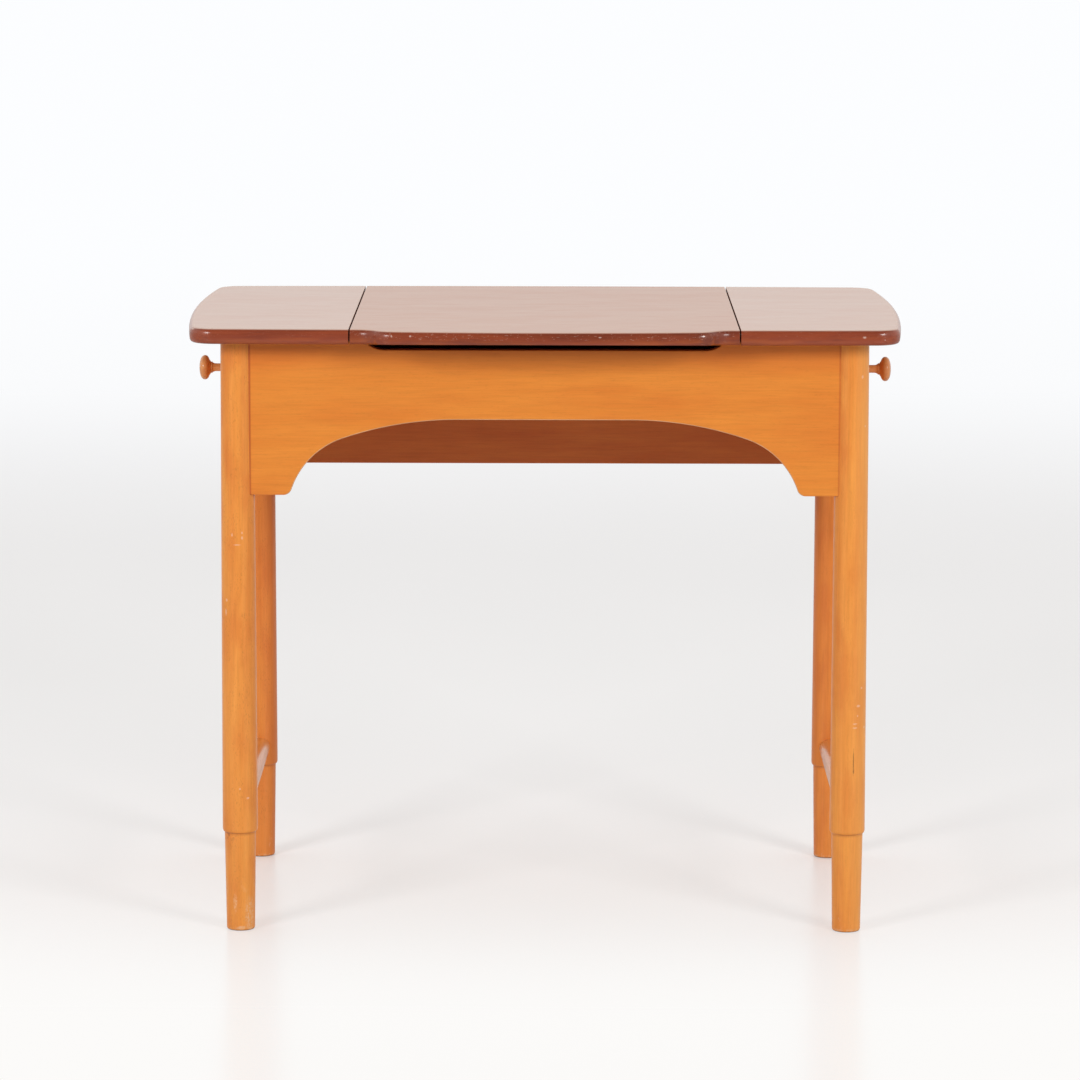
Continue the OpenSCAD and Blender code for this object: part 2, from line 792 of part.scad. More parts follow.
// Turned knob standing on the origin along Z
module knob_turning() {
    mid = knob_len - knob_t / 2;
    // The head is an ellipse in section, joined to the collar where its back is as wide as the collar
    start = -acos(collar_r / knob_r);
    head = [for (i = [0 : 16]) let (a = start + (90 - start) * i / 16)
        [knob_r * cos(a), mid + knob_t / 2 * sin(a)]];
    collar_z = mid + knob_t / 2 * sin(start) - collar_len;
    foot = [[0, 0], [knob_foot_r, 0], [knob_foot_r, 1.5], [stem_r + 1, 4], [stem_r, 7]];
    rotate_extrude() polygon(concat(foot, [[stem_r, collar_z - 1.5], [stem_r + 0.6, collar_z]], head));
}

module drawer_knob(s) {
    color(beech_shade) on_side(s) translate([rail_out, 0, knob_z]) rotate([0, 90, 0]) difference() {
        knob_turning();
        translate([0, 0, -through]) cylinder(r = screw_r + bore_gap, h = knob_bite + through + bore_gap);
    }
}

module drawer_screw(s) {
    color(brass) on_side(s) translate([rail_in, 0, knob_z]) rotate([0, 90, 0]) {
        translate([0, 0, -screw_head_h]) cylinder(r = screw_head_r, h = screw_head_h);
        cylinder(r = screw_r, h = rail_t + knob_bite);
    }
}

placed() leg(-1, -1);  // leg_front_left
placed() leg(1, -1);  // leg_front_right
placed() leg(-1, 1);  // leg_back_left
placed() leg(1, 1);  // leg_back_right
placed() stretcher(-1);  // stretcher_left
placed() stretcher(1);  // stretcher_right
placed() front_apron();
placed() back_apron();
placed() end_rail(-1);  // end_rail_left
placed() end_rail(1);  // end_rail_right
placed() top_rail(-1);  // top_rail_left
placed() top_rail(1);  // top_rail_right
placed() partition(-1);  // partition_left
placed() partition(1);  // partition_right
placed() compartment_floor();
placed() floor_cleat_bar(-1);  // floor_cleat_front
placed() floor_cleat_bar(1);  // floor_cleat_back
placed() top_cleat_bar(-1);  // top_cleat_left
placed() top_cleat_bar(1);  // top_cleat_right
placed() runner(-1, -1);  // runner_left_front
placed() runner(-1, 1);  // runner_left_back
placed() runner(1, -1);  // runner_right_front
placed() runner(1, 1);  // runner_right_back
placed() top_panel(-1);  // top_panel_left
placed() top_panel(1);  // top_panel_right
placed() top_screws();
placed() centre_flap();
placed() mirror_glass();
placed() mirror_bead_y(-1);  // mirror_bead_front
placed() mirror_bead_y(1);  // mirror_bead_back
placed() mirror_bead_x(-1);  // mirror_bead_left
placed() mirror_bead_x(1);  // mirror_bead_right
placed() frame_leaf(-1);  // hinge_left_frame_leaf
placed() flap_leaf(-1);  // hinge_left_flap_leaf
placed() hinge_pin(-1);  // hinge_left_pin
placed() frame_leaf(1);  // hinge_right_frame_leaf
placed() flap_leaf(1);  // hinge_right_flap_leaf
placed() hinge_pin(1);  // hinge_right_pin
placed() hinge_screws_frame();
placed() hinge_screws_flap();
placed() drawer_front(-1);  // drawer_left_front
placed() drawer_side(-1, -1);  // drawer_left_side_front
placed() drawer_side(-1, 1);  // drawer_left_side_back
placed() drawer_back(-1);  // drawer_left_back
placed() drawer_bottom(-1);  // drawer_left_bottom
placed() drawer_knob(-1);  // drawer_left_knob
placed() drawer_screw(-1);  // drawer_left_screw
placed() drawer_front(1);  // drawer_right_front
placed() drawer_side(1, -1);  // drawer_right_side_front
placed() drawer_side(1, 1);  // drawer_right_side_back
placed() drawer_back(1);  // drawer_right_back
placed() drawer_bottom(1);  // drawer_right_bottom
placed() drawer_knob(1);  // drawer_right_knob
placed() drawer_screw(1);  // drawer_right_screw
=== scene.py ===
import math

import bpy
from mathutils import Matrix, Vector


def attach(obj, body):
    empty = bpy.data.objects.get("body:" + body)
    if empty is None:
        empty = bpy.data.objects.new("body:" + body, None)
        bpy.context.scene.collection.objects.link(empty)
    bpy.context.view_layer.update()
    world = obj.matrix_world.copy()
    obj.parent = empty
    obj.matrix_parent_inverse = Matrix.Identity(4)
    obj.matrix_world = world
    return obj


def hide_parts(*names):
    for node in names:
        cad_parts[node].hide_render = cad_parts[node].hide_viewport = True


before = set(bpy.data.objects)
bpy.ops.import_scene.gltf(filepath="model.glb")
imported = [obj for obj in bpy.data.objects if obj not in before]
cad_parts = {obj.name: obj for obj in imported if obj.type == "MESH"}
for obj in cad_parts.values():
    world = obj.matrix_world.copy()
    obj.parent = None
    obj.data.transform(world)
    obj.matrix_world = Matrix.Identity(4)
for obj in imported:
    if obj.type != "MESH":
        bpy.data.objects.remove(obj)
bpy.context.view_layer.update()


# Camera. It stands almost six metres in front of the table, a little above the top, and looks slightly
# down through a long lens, so that the top is seen as a narrow band.
look_down, look_aside, roll = 8.566, 0.17, 0.13
picture_width_px = 1080
focal_length_px = 4850
bpy.ops.object.select_all(action="DESELECT")
bpy.ops.object.camera_add(
    location=(0.0116, -5.8160, 1.3140), rotation=(math.radians(90 - look_down), 0, math.radians(look_aside))
)
camera = bpy.context.object
camera.name = "front_camera"
camera.rotation_euler.rotate_axis("Z", math.radians(roll))
camera.data.sensor_width = 36
camera.data.lens = focal_length_px * camera.data.sensor_width / picture_width_px
bpy.context.scene.camera = camera


# Legs. Each is turned from one length of beech: a long shaft that swells downwards, a rounded step,
# and a slimmer foot that tapers to the floor. A fine dark line in the corner under the step is painted,
# partly dirt and partly painted shade. Aprons, rails and stretchers are tenoned into the legs.
class Profile:
    """A line drawn point by point in edit mode. It becomes the edge of a board or the section of a turning."""

    def __init__(self, name, start):
        bpy.ops.object.select_all(action="DESELECT")
        bpy.ops.mesh.primitive_plane_add(size=0.01, location=start)
        self.piece = bpy.context.object
        self.piece.name = name
        self.tip = Vector(start)
        bpy.ops.object.mode_set(mode="EDIT")
        bpy.ops.mesh.select_mode(type="VERT")
        bpy.ops.mesh.select_all(action="SELECT")
        bpy.ops.mesh.merge(type="CENTER")
        bpy.ops.mesh.select_all(action="SELECT")

    def line(self, *points):
        for point in points:
            bpy.ops.mesh.extrude_vertices_move(TRANSFORM_OT_translate={"value": Vector(point) - self.tip})
            self.tip = Vector(point)

    def arc(self, centre, turn, steps, axis):
        """Goes on round an axis through centre by turn in degrees, anticlockwise seen from the axis's tip."""
        bpy.ops.mesh.spin(steps=steps, angle=-math.radians(turn), center=centre, axis=axis)
        self.tip = Matrix.Rotation(math.radians(turn), 3, axis) @ (self.tip - Vector(centre)) + Vector(centre)

    def turn(self, centre, axis, steps):
        """Spins the section once round, as on a lathe."""
        bpy.ops.mesh.select_all(action="SELECT")
        bpy.ops.mesh.spin(steps=steps, angle=2 * math.pi, center=centre, axis=axis)
        bpy.ops.mesh.select_all(action="SELECT")
        bpy.ops.mesh.remove_doubles(threshold=1e-6)
        bpy.ops.mesh.normals_make_consistent(inside=False)


def finish_piece(piece, body, *nodes, smooth=40):
    """Puts a finished mesh's origin at the world's, smooths its curves and lets it stand for its CAD nodes."""
    if bpy.context.mode != "OBJECT":
        bpy.ops.object.mode_set(mode="OBJECT")
    bpy.ops.object.select_all(action="DESELECT")
    piece.select_set(True)
    bpy.context.view_layer.objects.active = piece
    bpy.ops.object.transform_apply(location=True, rotation=True, scale=True)
    bpy.ops.object.shade_smooth_by_angle(angle=math.radians(smooth))
    flat = piece.modifiers.new("flat faces stay flat", "WEIGHTED_NORMAL")
    flat.keep_sharp = True
    bpy.ops.object.modifier_apply(modifier=flat.name)
    piece.data.name = piece.name
    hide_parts(*nodes)
    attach(piece, body)
    return piece


class Signal:
    """A number that varies over a surface. Arithmetic on it adds Math nodes to its finish."""

    def __init__(self, finish, socket):
        self.finish = finish
        self.socket = socket

    def combine(self, operation, *numbers):
        return self.finish.node("ShaderNodeMath", {"operation": operation}, dict(enumerate(numbers)))

    def __add__(self, other):
        return self.combine("ADD", self, other)

    def __sub__(self, other):
        return self.combine("SUBTRACT", self, other)

    def __rsub__(self, other):
        return self.combine("SUBTRACT", other, self)

    def __mul__(self, other):
        return self.combine("MULTIPLY", self, other)

    def __abs__(self):
        return self.combine("ABSOLUTE", self)

    __radd__ = __add__
    __rmul__ = __mul__


class Finish:
    """A material under construction. Keywords set the sockets that are the same all over the surface."""

    def __init__(self, name, **uniform):
        self.material = bpy.data.materials.new(name)
        self.material.use_nodes = True
        self.tree = self.material.node_tree
        self.surface = self.tree.nodes["Principled BSDF"]
        for socket, value in uniform.items():
            self.surface.inputs[socket.replace("_", " ")].default_value = value
        self.place = self.node("ShaderNodeTexCoord", {}, {}, "Object")

    def node(self, kind, settings, sockets, output=None):
        made = self.tree.nodes.new(kind)
        for name, value in settings.items():
            setattr(made, name, value)
        for key, value in sockets.items():
            found = [s for s in made.inputs if s.enabled and key in (s.name, s.identifier)]
            self.feed(found[0] if found else made.inputs[key], value)
        shown = [s for s in made.outputs if s.enabled and output in (None, s.name)]
        return Signal(self, shown[0])

    def feed(self, socket, value):
        if isinstance(value, Signal):
            self.tree.links.new(value.socket, socket)
        elif socket.type == "RGBA":
            socket.default_value = (*value, 1)
        else:
            socket.default_value = value

    def along(self, axis):
        """How far the point lies along X, Y or Z."""
        return self.node("ShaderNodeSeparateXYZ", {}, {"Vector": self.place}, axis)

    def stretched(self, scale, shift=(0, 0, 0)):
        return self.node("ShaderNodeMapping", {}, {"Vector": self.place, "Scale": scale, "Location": shift})

    def noise(self, place, scale, detail=2.0, roughness=0.5, distortion=0.0):
        return self.node("ShaderNodeTexNoise", {"normalize": True}, {
            "Vector": place, "Scale": scale, "Detail": detail, "Roughness": roughness, "Distortion": distortion})

    def between(self, signal, low, high):
        """0 where the signal is under low, 1 where it is over high, and smooth between them."""
        return self.node("ShaderNodeMapRange", {"interpolation_type": "SMOOTHSTEP"}, {
            "Value": signal, "From Min": low, "From Max": high})

    def under(self, signal, low, high):
        """1 where the signal is under low, 0 where it is over high, and smooth between them."""
        return 1 - self.between(signal, low, high)

    def blend(self, share, first, second):
        return self.node("ShaderNodeMix", {"data_type": "RGBA"}, {
            "Factor_Float": share, "A_Color": first, "B_Color": second})

    def coat(self, colour, roughness, height, depth):
        """Joins colour, roughness and height to the surface, with bumps of that depth in metres."""
        self.feed(self.surface.inputs["Base Color"], colour)
        self.feed(self.surface.inputs["Roughness"], roughness)
        bump = self.node("ShaderNodeBump", {}, {"Strength": 1.0, "Distance": depth, "Height": height}, "Normal")
        self.feed(self.surface.inputs["Normal"], bump)
        return self.material


def along_grain(finish, grain, along, shift):
    """Coordinates that change less along the grain than across it, so that a pattern runs with the grain."""
    return finish.stretched(tuple(along if axis == grain else 1.0 for axis in "XYZ"), shift)


def chips(finish, spots):
    """A mask of ragged spots, such as chips, scratches and painted glints, given by their centres and half
    lengths on each axis.
    """
    ragged = finish.noise(finish.place, 1300, 2) * 1.4
    mask = 0.0
    for centre, reach in spots:
        away = finish.node("ShaderNodeVectorMath", {"operation": "SUBTRACT"}, {0: finish.place, 1: centre})
        away = finish.node("ShaderNodeVectorMath", {"operation": "DIVIDE"}, {0: away, 1: reach})
        away = finish.node("ShaderNodeVectorMath", {"operation": "LENGTH"}, {0: away}, "Value")
        spot = finish.under(away + ragged, 1.1, 1.9)
        mask = spot.combine("MAXIMUM", mask, spot)
    return mask


def beech(
    name, grain, pale, dark, red, shift=(0, 0, 0), figure=1.0, patches=9, flecks=0.08, gloss=0.3, wear_and_shading=None
):
    """Beech under an orange-brown lacquer: soft streaks, fine lines, short flecks, patches that turn red."""
    finish = Finish(name, Specular_IOR_Level=0.2, Coat_Weight=gloss, Coat_IOR=1.35, Coat_Roughness=0.14)
    streaks = finish.noise(along_grain(finish, grain, 0.06, shift), 80, 6, 0.62, 0.5)
    lines = finish.noise(along_grain(finish, grain, 0.05, shift), 430, 3, 0.6)
    drift = finish.noise(along_grain(finish, grain, 0.35, shift), patches, 3, 0.55)
    fleck = finish.between(finish.noise(along_grain(finish, grain, 0.2, shift), 850, 1, 0.4), 0.61, 0.72)
    colour = finish.blend(finish.between(streaks, 0.5 - 0.2 / figure, 0.5 + 0.22 / figure), pale, dark)
    colour = finish.blend(finish.between(drift, 0.42, 0.75) * 0.7, colour, red)
    shade = finish.between(lines, 0.35, 0.8) * 0.17 + fleck * flecks
    colour = finish.blend(shade, colour, tuple(0.45 * c for c in red))
    roughness = 0.3 + lines * 0.1 + fleck * 0.1
    if wear_and_shading:
        colour, roughness = wear_and_shading(finish, colour, roughness)
    return finish.coat(colour, roughness, lines * 0.4 - fleck * 0.4, 0.00005)


leg_x = 0.359
leg_y = {"front": -0.191, "back": 0.221}
frame_top = 0.7020
step_low = 0.1180
step_r = 0.0208
step_round = 0.0022
sole_r = 0.0167
sole_round = 0.0025

bare_patches = [
    ((-0.3645, -0.2075, 0.034), (0.0026, 0.006, 0.012)), ((-0.3475, -0.2030, 0.018), (0.0062, 0.010, 0.024)),
    ((-0.3560, -0.2080, 0.004), (0.0100, 0.006, 0.0025)),
]
# Chips and scratches on the left front leg, and painted glints on the right front leg.
leg_chips_and_glints = [
    ((-0.3651, -0.2104, 0.4746), (0.0010, 0.003, 0.0022)), ((-0.3534, -0.2105, 0.4770), (0.0010, 0.003, 0.0016)),
    ((-0.3534, -0.2105, 0.4711), (0.0012, 0.003, 0.0022)), ((-0.3592, -0.2113, 0.4629), (0.0042, 0.003, 0.0008)),
    ((-0.3723, -0.2063, 0.3969), (0.0012, 0.003, 0.0020)), ((-0.3731, -0.2056, 0.3825), (0.0009, 0.003, 0.0045)),
    ((-0.3486, -0.2084, 0.1608), (0.0018, 0.003, 0.0014)), ((-0.3578, -0.2113, 0.1722), (0.0010, 0.003, 0.0012)),
    ((0.3732, -0.2055, 0.2941), (0.0010, 0.003, 0.0016)), ((0.3695, -0.2083, 0.2731), (0.0026, 0.003, 0.0016)),
    ((0.3687, -0.2088, 0.2612), (0.0008, 0.003, 0.0014)), ((0.3657, -0.2102, 0.2519), (0.0032, 0.003, 0.0009)),
    ((0.3658, -0.2101, 0.2471), (0.0032, 0.003, 0.0010)), ((0.3769, -0.2005, 0.2465), (0.0010, 0.003, 0.0018)),
    ((0.3700, -0.2079, 0.6620), (0.0012, 0.003, 0.0024)), ((0.3740, -0.2045, 0.6040), (0.0008, 0.003, 0.0016)),
]
leg_crack = [
    ((0.3643, -0.2107, 0.2060), (0.0008, 0.003, 0.016)), ((0.3645, -0.2107, 0.1950), (0.0010, 0.003, 0.003)),
]


def leg_wear_and_light(finish, colour, roughness):
    """Dirt and painted shade in the corner under the step, a painted shadow below the step on the outer side of
    the left legs, and dirt in the pores. Painted shade on the inner faces, most on the back legs; painted light
    on the lower legs and on the outer face of the right legs. Feet rubbed towards the floor, a painted contact
    shadow round the sole, and a few chips where the legs were knocked, with painted glints on the right legs."""
    height, side, depth = finish.along("Z"), finish.along("X"), finish.along("Y")
    right = finish.between(side, -0.1, 0.1)

    mottle = finish.noise(finish.place, 260, 2)
    # Dirt and painted shade in the corner under the step.
    step_shade_and_dirt = finish.between(height, step_low - 0.0035, step_low - 0.0008)
    step_shade_and_dirt = step_shade_and_dirt * finish.under(height, step_low + 0.0002, step_low + 0.0020) * (0.2 + mottle * 0.3)
    # A painted shadow under the step, on the outer side of the left legs, broken up by the mottle.
    painted_step_shadow = finish.between(mottle, 0.5, 0.62) * finish.between(height, step_low - 0.018, step_low)
    painted_step_shadow = painted_step_shadow * finish.under(height, step_low, step_low + 0.001)
    painted_step_shadow = painted_step_shadow * finish.under(side, -leg_x - 0.009, -leg_x - 0.001)
    colour = finish.blend(step_shade_and_dirt + painted_step_shadow * 0.6, colour, (0.30, 0.075, 0.030))

    pores = finish.noise(finish.stretched((1, 1, 0.3), (0.4, 0.2, 0)), 1000, 1, 0.4)
    clusters = finish.noise(finish.stretched((1, 1, 0.3), (0.1, 0.7, 0)), 90, 2)
    pores = finish.between(pores, 0.58, 0.7) * (1 - right * 0.7) * finish.between(clusters, 0.35, 0.65)
    colour = finish.blend(pores * 0.26, colour, (0.26, 0.07, 0.02))

    # Painted light: the lower legs are brighter towards the floor.
    colour = finish.blend(finish.under(height, 0.05, 0.6) * 0.14, colour, (0.98, 0.46, 0.12))
    # Painted light on the outer face of the right legs, stronger higher up.
    painted_light_outside = finish.between(side, leg_x - 0.002, leg_x + 0.016)
    painted_light_outside = painted_light_outside * (0.55 + finish.between(height, 0.40, 0.60) * 0.45)
    colour = finish.blend(painted_light_outside * 0.4, colour, (0.96, 0.48, 0.13))
    # Painted shade on the inner faces, most on the back legs and on the left legs.
    inside = finish.under(abs(side), leg_x - 0.020, leg_x - 0.005)
    inside = inside * (finish.between(depth, 0.0, 0.1) * 0.85 + 0.15)
    colour = finish.blend(inside * (0.5 - right * 0.3), colour, (0.50, 0.115, 0.020))

    rubbed = finish.noise(finish.stretched((1, 1, 0.45), (0.16, 0, 0)), 62, 5, 0.7)
    rubbed = finish.between(rubbed, 0.58, 0.70) * finish.under(height, 0.025, 0.075) * 0.6
    speckle = finish.between(finish.noise(finish.stretched((1, 1, 0.5)), 560, 3, 0.7), 0.44, 0.60)
    rubbed = rubbed + chips(finish, bare_patches) * (0.12 + speckle * 0.8)
    colour = finish.blend(rubbed * 0.6, colour, (0.84, 0.58, 0.36))
    pale_rim = finish.under(height, 0.0020, 0.0050) * finish.between(mottle, 0.40, 0.62)
    colour = finish.blend(pale_rim * 0.4, colour, (0.78, 0.50, 0.30))
    # Painted contact shadow: a dark rim round the sole.
    colour = finish.blend(finish.under(height, 0.0004, 0.0016) * 0.75, colour, (0.16, 0.09, 0.06))

    # Chips, and on the right legs painted glints, paler than the lacquer.
    chips_and_glints = chips(finish, leg_chips_and_glints)
    colour = finish.blend(chips_and_glints * 0.45, colour, (0.88, 0.66, 0.52))
    colour = finish.blend(chips(finish, leg_crack) * 0.6, colour, (0.12, 0.04, 0.015))
    return colour, roughness + rubbed * 0.25 + chips_and_glints * 0.2


# The back legs' lacquer is a darker, redder copy of the front legs': painted shade.
leg_lacquer = {
    "front": beech(
        "front_leg_beech", "Z", pale=(0.86, 0.330, 0.060), dark=(0.76, 0.240, 0.039), red=(0.70, 0.195, 0.032),
        figure=0.8, patches=44, flecks=0.08, wear_and_shading=leg_wear_and_light
    ),
    "back": beech(
        "back_leg_beech", "Z", pale=(0.78, 0.245, 0.044), dark=(0.68, 0.186, 0.032), red=(0.63, 0.150, 0.027),
        figure=0.8, patches=44, flecks=0.06, wear_and_shading=leg_wear_and_light
    ),
}
# The turning's section, as radius and height from the sole up.
leg_section = [
    (sole_r - sole_round * (1 - math.sin(a)), sole_round * (1 - math.cos(a)))
    for a in (0, 0.4, 0.8, 1.2, math.pi / 2)
]
leg_section += [(0.0176, 0.0600), (0.0184, step_low - 0.0020), (0.0184, step_low - 0.0003)]
leg_section += [
    (step_r - step_round * (1 - math.sin(a)), step_low + 2 * step_round * (1 - math.cos(a)))
    for a in (0, 0.3, 0.6, 0.9, 1.2, math.pi / 2)
]
leg_section += [(0.0203, 0.3200), (0.0198, 0.5100), (0.0193, frame_top)]
for edge in ("front", "back"):
    for side, x in (("left", -leg_x), ("right", leg_x)):
        y = leg_y[edge]
        section = Profile(f"turned_leg_{edge}_{side}", (x, y, 0))
        section.line(*[(x + radius, y, height) for radius, height in leg_section], (x, y, frame_top))
        section.turn((x, y, 0), (0, 0, 1), 64)
        leg = finish_piece(section.piece, "table", f"leg_{edge}_{side}")
        leg.data.materials.append(leg_lacquer[edge])


# Stretchers. A round beech rod joins the front and back leg at each end, low down. Its shoulders are
# scribed to the legs, and a round tenon at each end is glued into a bore.
stretcher_z = 0.1425
stretcher_r = 0.012
into_leg = 0.010
middle_y = 0.015
stretcher_beech = beech(
    "stretcher_beech", "Y", pale=(0.76, 0.29, 0.06), dark=(0.64, 0.19, 0.035), red=(0.58, 0.15, 0.03), gloss=0.6
)
rod_front, rod_back = leg_y["front"] + into_leg, leg_y["back"] - into_leg
for side, x in (("left", -leg_x), ("right", leg_x)):
    section = Profile(f"turned_stretcher_{side}", (x, rod_front, stretcher_z))
    section.line(*[(x, y, stretcher_z + stretcher_r) for y in (rod_front, middle_y, rod_back)])
    section.line((x, rod_back, stretcher_z))
    section.turn((x, 0, stretcher_z), (0, 1, 0), 64)
    rod = finish_piece(section.piece, "table", f"stretcher_{side}")
    rod.data.materials.append(stretcher_beech)


# Front apron. A wide beech board on edge, sawn below to an arch and above to a shallow finger slot
# under the flap. Its arrises are rubbed over, and the eased faces along the arch are painted pale, partly
# worn lacquer and partly a painted highlight on the arris.
board_t = 0.018
apron_face = -0.2043
apron_end = 0.3461
apron_low_end = 0.3454
apron_low = 0.5210
arch_crown = 0.6100
arch_flat = 0.1015
crown_r, crown_turn = 0.416, 18.8
shoulder_r, shoulder_turn = 0.096, 52.45
arch_foot_r = 0.010
slot_low = 0.6918
slot_flat = 0.1870
slot_end_r = 0.030
arris = 0.0011
slot_arris = 0.0012


def select_edges(piece, wanted):
    """Selects the edges whose two ends both pass the test, in edit mode."""
    bpy.ops.mesh.select_mode(type="EDGE")
    bpy.ops.mesh.select_all(action="DESELECT")
    bpy.ops.object.mode_set(mode="OBJECT")
    points = [piece.matrix_world @ vertex.co for vertex in piece.data.vertices]
    for edge in piece.data.edges:
        edge.select = wanted(points[edge.vertices[0]], points[edge.vertices[1]])
    bpy.ops.object.mode_set(mode="EDIT")


def close_board(profile, thickness):
    """Joins the outline to its mirror image in x = 0 and gives the board its thickness."""
    bpy.ops.object.mode_set(mode="OBJECT")
    half = profile.piece.modifiers.new("other half", "MIRROR")
    bpy.ops.object.modifier_apply(modifier=half.name)
    bpy.ops.object.mode_set(mode="EDIT")
    bpy.ops.mesh.select_all(action="SELECT")
    bpy.ops.mesh.edge_face_add()
    bpy.ops.mesh.extrude_region_move(TRANSFORM_OT_translate={"value": thickness})
    bpy.ops.mesh.select_all(action="SELECT")
    bpy.ops.mesh.normals_make_consistent(inside=False)


def apron_shade_and_joints(finish, colour, roughness):
    """The lacquer stands darker and redder in the joints with the legs. Under the flap it is painted darker
    and redder: painted shade under the top's overhang."""
    # Painted shade in the band under the top.
    shaded = finish.between(finish.along("Z"), frame_top - 0.047, frame_top - 0.007)
    colour = finish.blend(shaded * 0.42, colour, (0.60, 0.125, 0.022))
    side = finish.along("X")
    joint = finish.between(abs(side), apron_end - 0.0043, apron_end - 0.0023)
    joint = joint * (0.75 - finish.between(side, -0.1, 0.1) * 0.3)
    return finish.blend(joint, colour, (0.40, 0.070, 0.018)), roughness


apron_beech = beech(
    "apron_beech", "X", pale=(0.80, 0.275, 0.039), dark=(0.70, 0.212, 0.027), red=(0.69, 0.19, 0.025),
    figure=0.5, patches=16, flecks=0.09, wear_and_shading=apron_shade_and_joints
)
arch_arris_wear_and_highlight = beech("arch_arris_wear_and_highlight", "X", pale=(0.78, 0.42, 0.20), dark=(0.62, 0.28, 0.11), red=(0.55, 0.20, 0.08))


def leaning(turn):
    """Unit vector in the board's face, turned from straight up towards +X."""
    return Vector((math.sin(math.radians(turn)), 0, math.cos(math.radians(turn))))


full_turn = crown_turn + shoulder_turn
crown_c = Vector((arch_flat, apron_face, arch_crown - crown_r))
arch_shoulder_c = crown_c + (crown_r - shoulder_r) * leaning(crown_turn)
arch_foot_c = arch_shoulder_c + (shoulder_r + arch_foot_r) * leaning(full_turn)
slot_c = Vector((slot_flat, apron_face, slot_low + slot_end_r))
slot_turn = math.acos((slot_c.z - frame_top) / slot_end_r)
slot_end = slot_flat + slot_end_r * math.sin(slot_turn)
across = (0, -1, 0)
outline = Profile("arched_front_apron", (0, apron_face, arch_crown))
outline.line((arch_flat, apron_face, arch_crown))
outline.arc(crown_c, -crown_turn, 16, across)
outline.arc(arch_shoulder_c, -shoulder_turn, 24, across)
outline.arc(arch_foot_c, full_turn, 12, across)
outline.line((apron_low_end, apron_face, apron_low), (apron_end, apron_face, frame_top))
outline.line((slot_end, apron_face, frame_top))
outline.arc(slot_c, -math.degrees(slot_turn), 12, across)
outline.line((0, apron_face, slot_low))
close_board(outline, (0, board_t, 0))
apron = outline.piece
upper_part = slot_low - 0.0013
select_edges(apron, lambda a, b: abs(a.y - b.y) < 1e-6 and not min(a.z, b.z) > upper_part)
bpy.ops.mesh.bevel(offset=arris, segments=3, affect="EDGES")
select_edges(apron, lambda a, b: (
    max(a.y, b.y) < apron_face + 0.0001
    and min(a.z, b.z) > upper_part
    and max(abs(a.x), abs(b.x)) < slot_end + 0.0005
))
bpy.ops.mesh.bevel(offset=slot_arris, segments=4, affect="EDGES")
apron = finish_piece(apron, "table", "front_apron")
apron.data.materials.append(apron_beech)
apron.data.materials.append(arch_arris_wear_and_highlight)
# The eased faces along the arch take the paler finish: partly worn lacquer, partly a painted highlight.
for face in apron.data.polygons:
    on_arch = abs(face.center.x) < 0.302 and face.center.z < arch_crown + 0.0018
    face.material_index = int(on_arch and face.normal.y < -0.2 and face.area < 0.0001)


# Back apron. A plain beech board on edge, set lower than the crown of the arch, so that its inner
# face closes the view under the table. Its arrises are eased. Its lacquer is painted darker and redder
# than the front apron's: painted shade.
back_face = 0.2163
back_low = 0.5025
back_low_end = 0.3453
back_arris = 0.0012
back_beech = beech(
    "back_beech", "X", pale=(0.63, 0.170, 0.031), dark=(0.53, 0.118, 0.021), red=(0.48, 0.096, 0.017), figure=0.6
)
outline = Profile("eased_back_apron", (0, back_face, back_low))
outline.line((back_low_end, back_face, back_low), (apron_end, back_face, frame_top), (0, back_face, frame_top))
close_board(outline, (0, board_t, 0))
select_edges(outline.piece, lambda a, b: abs(a.y - b.y) < 1e-6)
bpy.ops.mesh.bevel(offset=back_arris, segments=3, affect="EDGES")
back = finish_piece(outline.piece, "table", "back_apron")
back.data.materials.append(back_beech)


# End rails and top rails. Each end has a rail under the drawer and a thin flat one over it, which the
# side panel of the top is screwed to. Both are tenoned into the legs.
def eased_copy(node, body, width, finish):
    """Copies a board of the frame and planes a small chamfer along its sharp edges."""
    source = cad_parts[node]
    piece = bpy.data.objects.new("eased_" + node, source.data.copy())
    bpy.context.scene.collection.objects.link(piece)
    bpy.ops.object.select_all(action="DESELECT")
    piece.select_set(True)
    bpy.context.view_layer.objects.active = piece
    bpy.ops.object.mode_set(mode="EDIT")
    bpy.ops.mesh.select_all(action="SELECT")
    bpy.ops.mesh.remove_doubles(threshold=1e-5)
    bpy.ops.mesh.customdata_custom_splitnormals_clear()
    bpy.ops.mesh.dissolve_limited(angle_limit=math.radians(0.5))
    bpy.ops.object.mode_set(mode="OBJECT")
    edge = piece.modifiers.new("eased edges", "BEVEL")
    edge.width = width
    edge.segments = 2
    edge.limit_method = "ANGLE"
    edge.angle_limit = math.radians(50)
    bpy.ops.object.modifier_apply(modifier=edge.name)
    piece.data.materials.clear()
    piece.data.materials.append(finish)
    finish_piece(piece, body, node)


rail_arris = 0.0008
rail_beech = beech(
    "rail_beech", "Y", pale=(0.80, 0.275, 0.04), dark=(0.69, 0.205, 0.026), red=(0.64, 0.16, 0.022)
)
for node in ("end_rail_left", "end_rail_right", "top_rail_left", "top_rail_right"):
    eased_copy(node, "table", rail_arris, rail_beech)


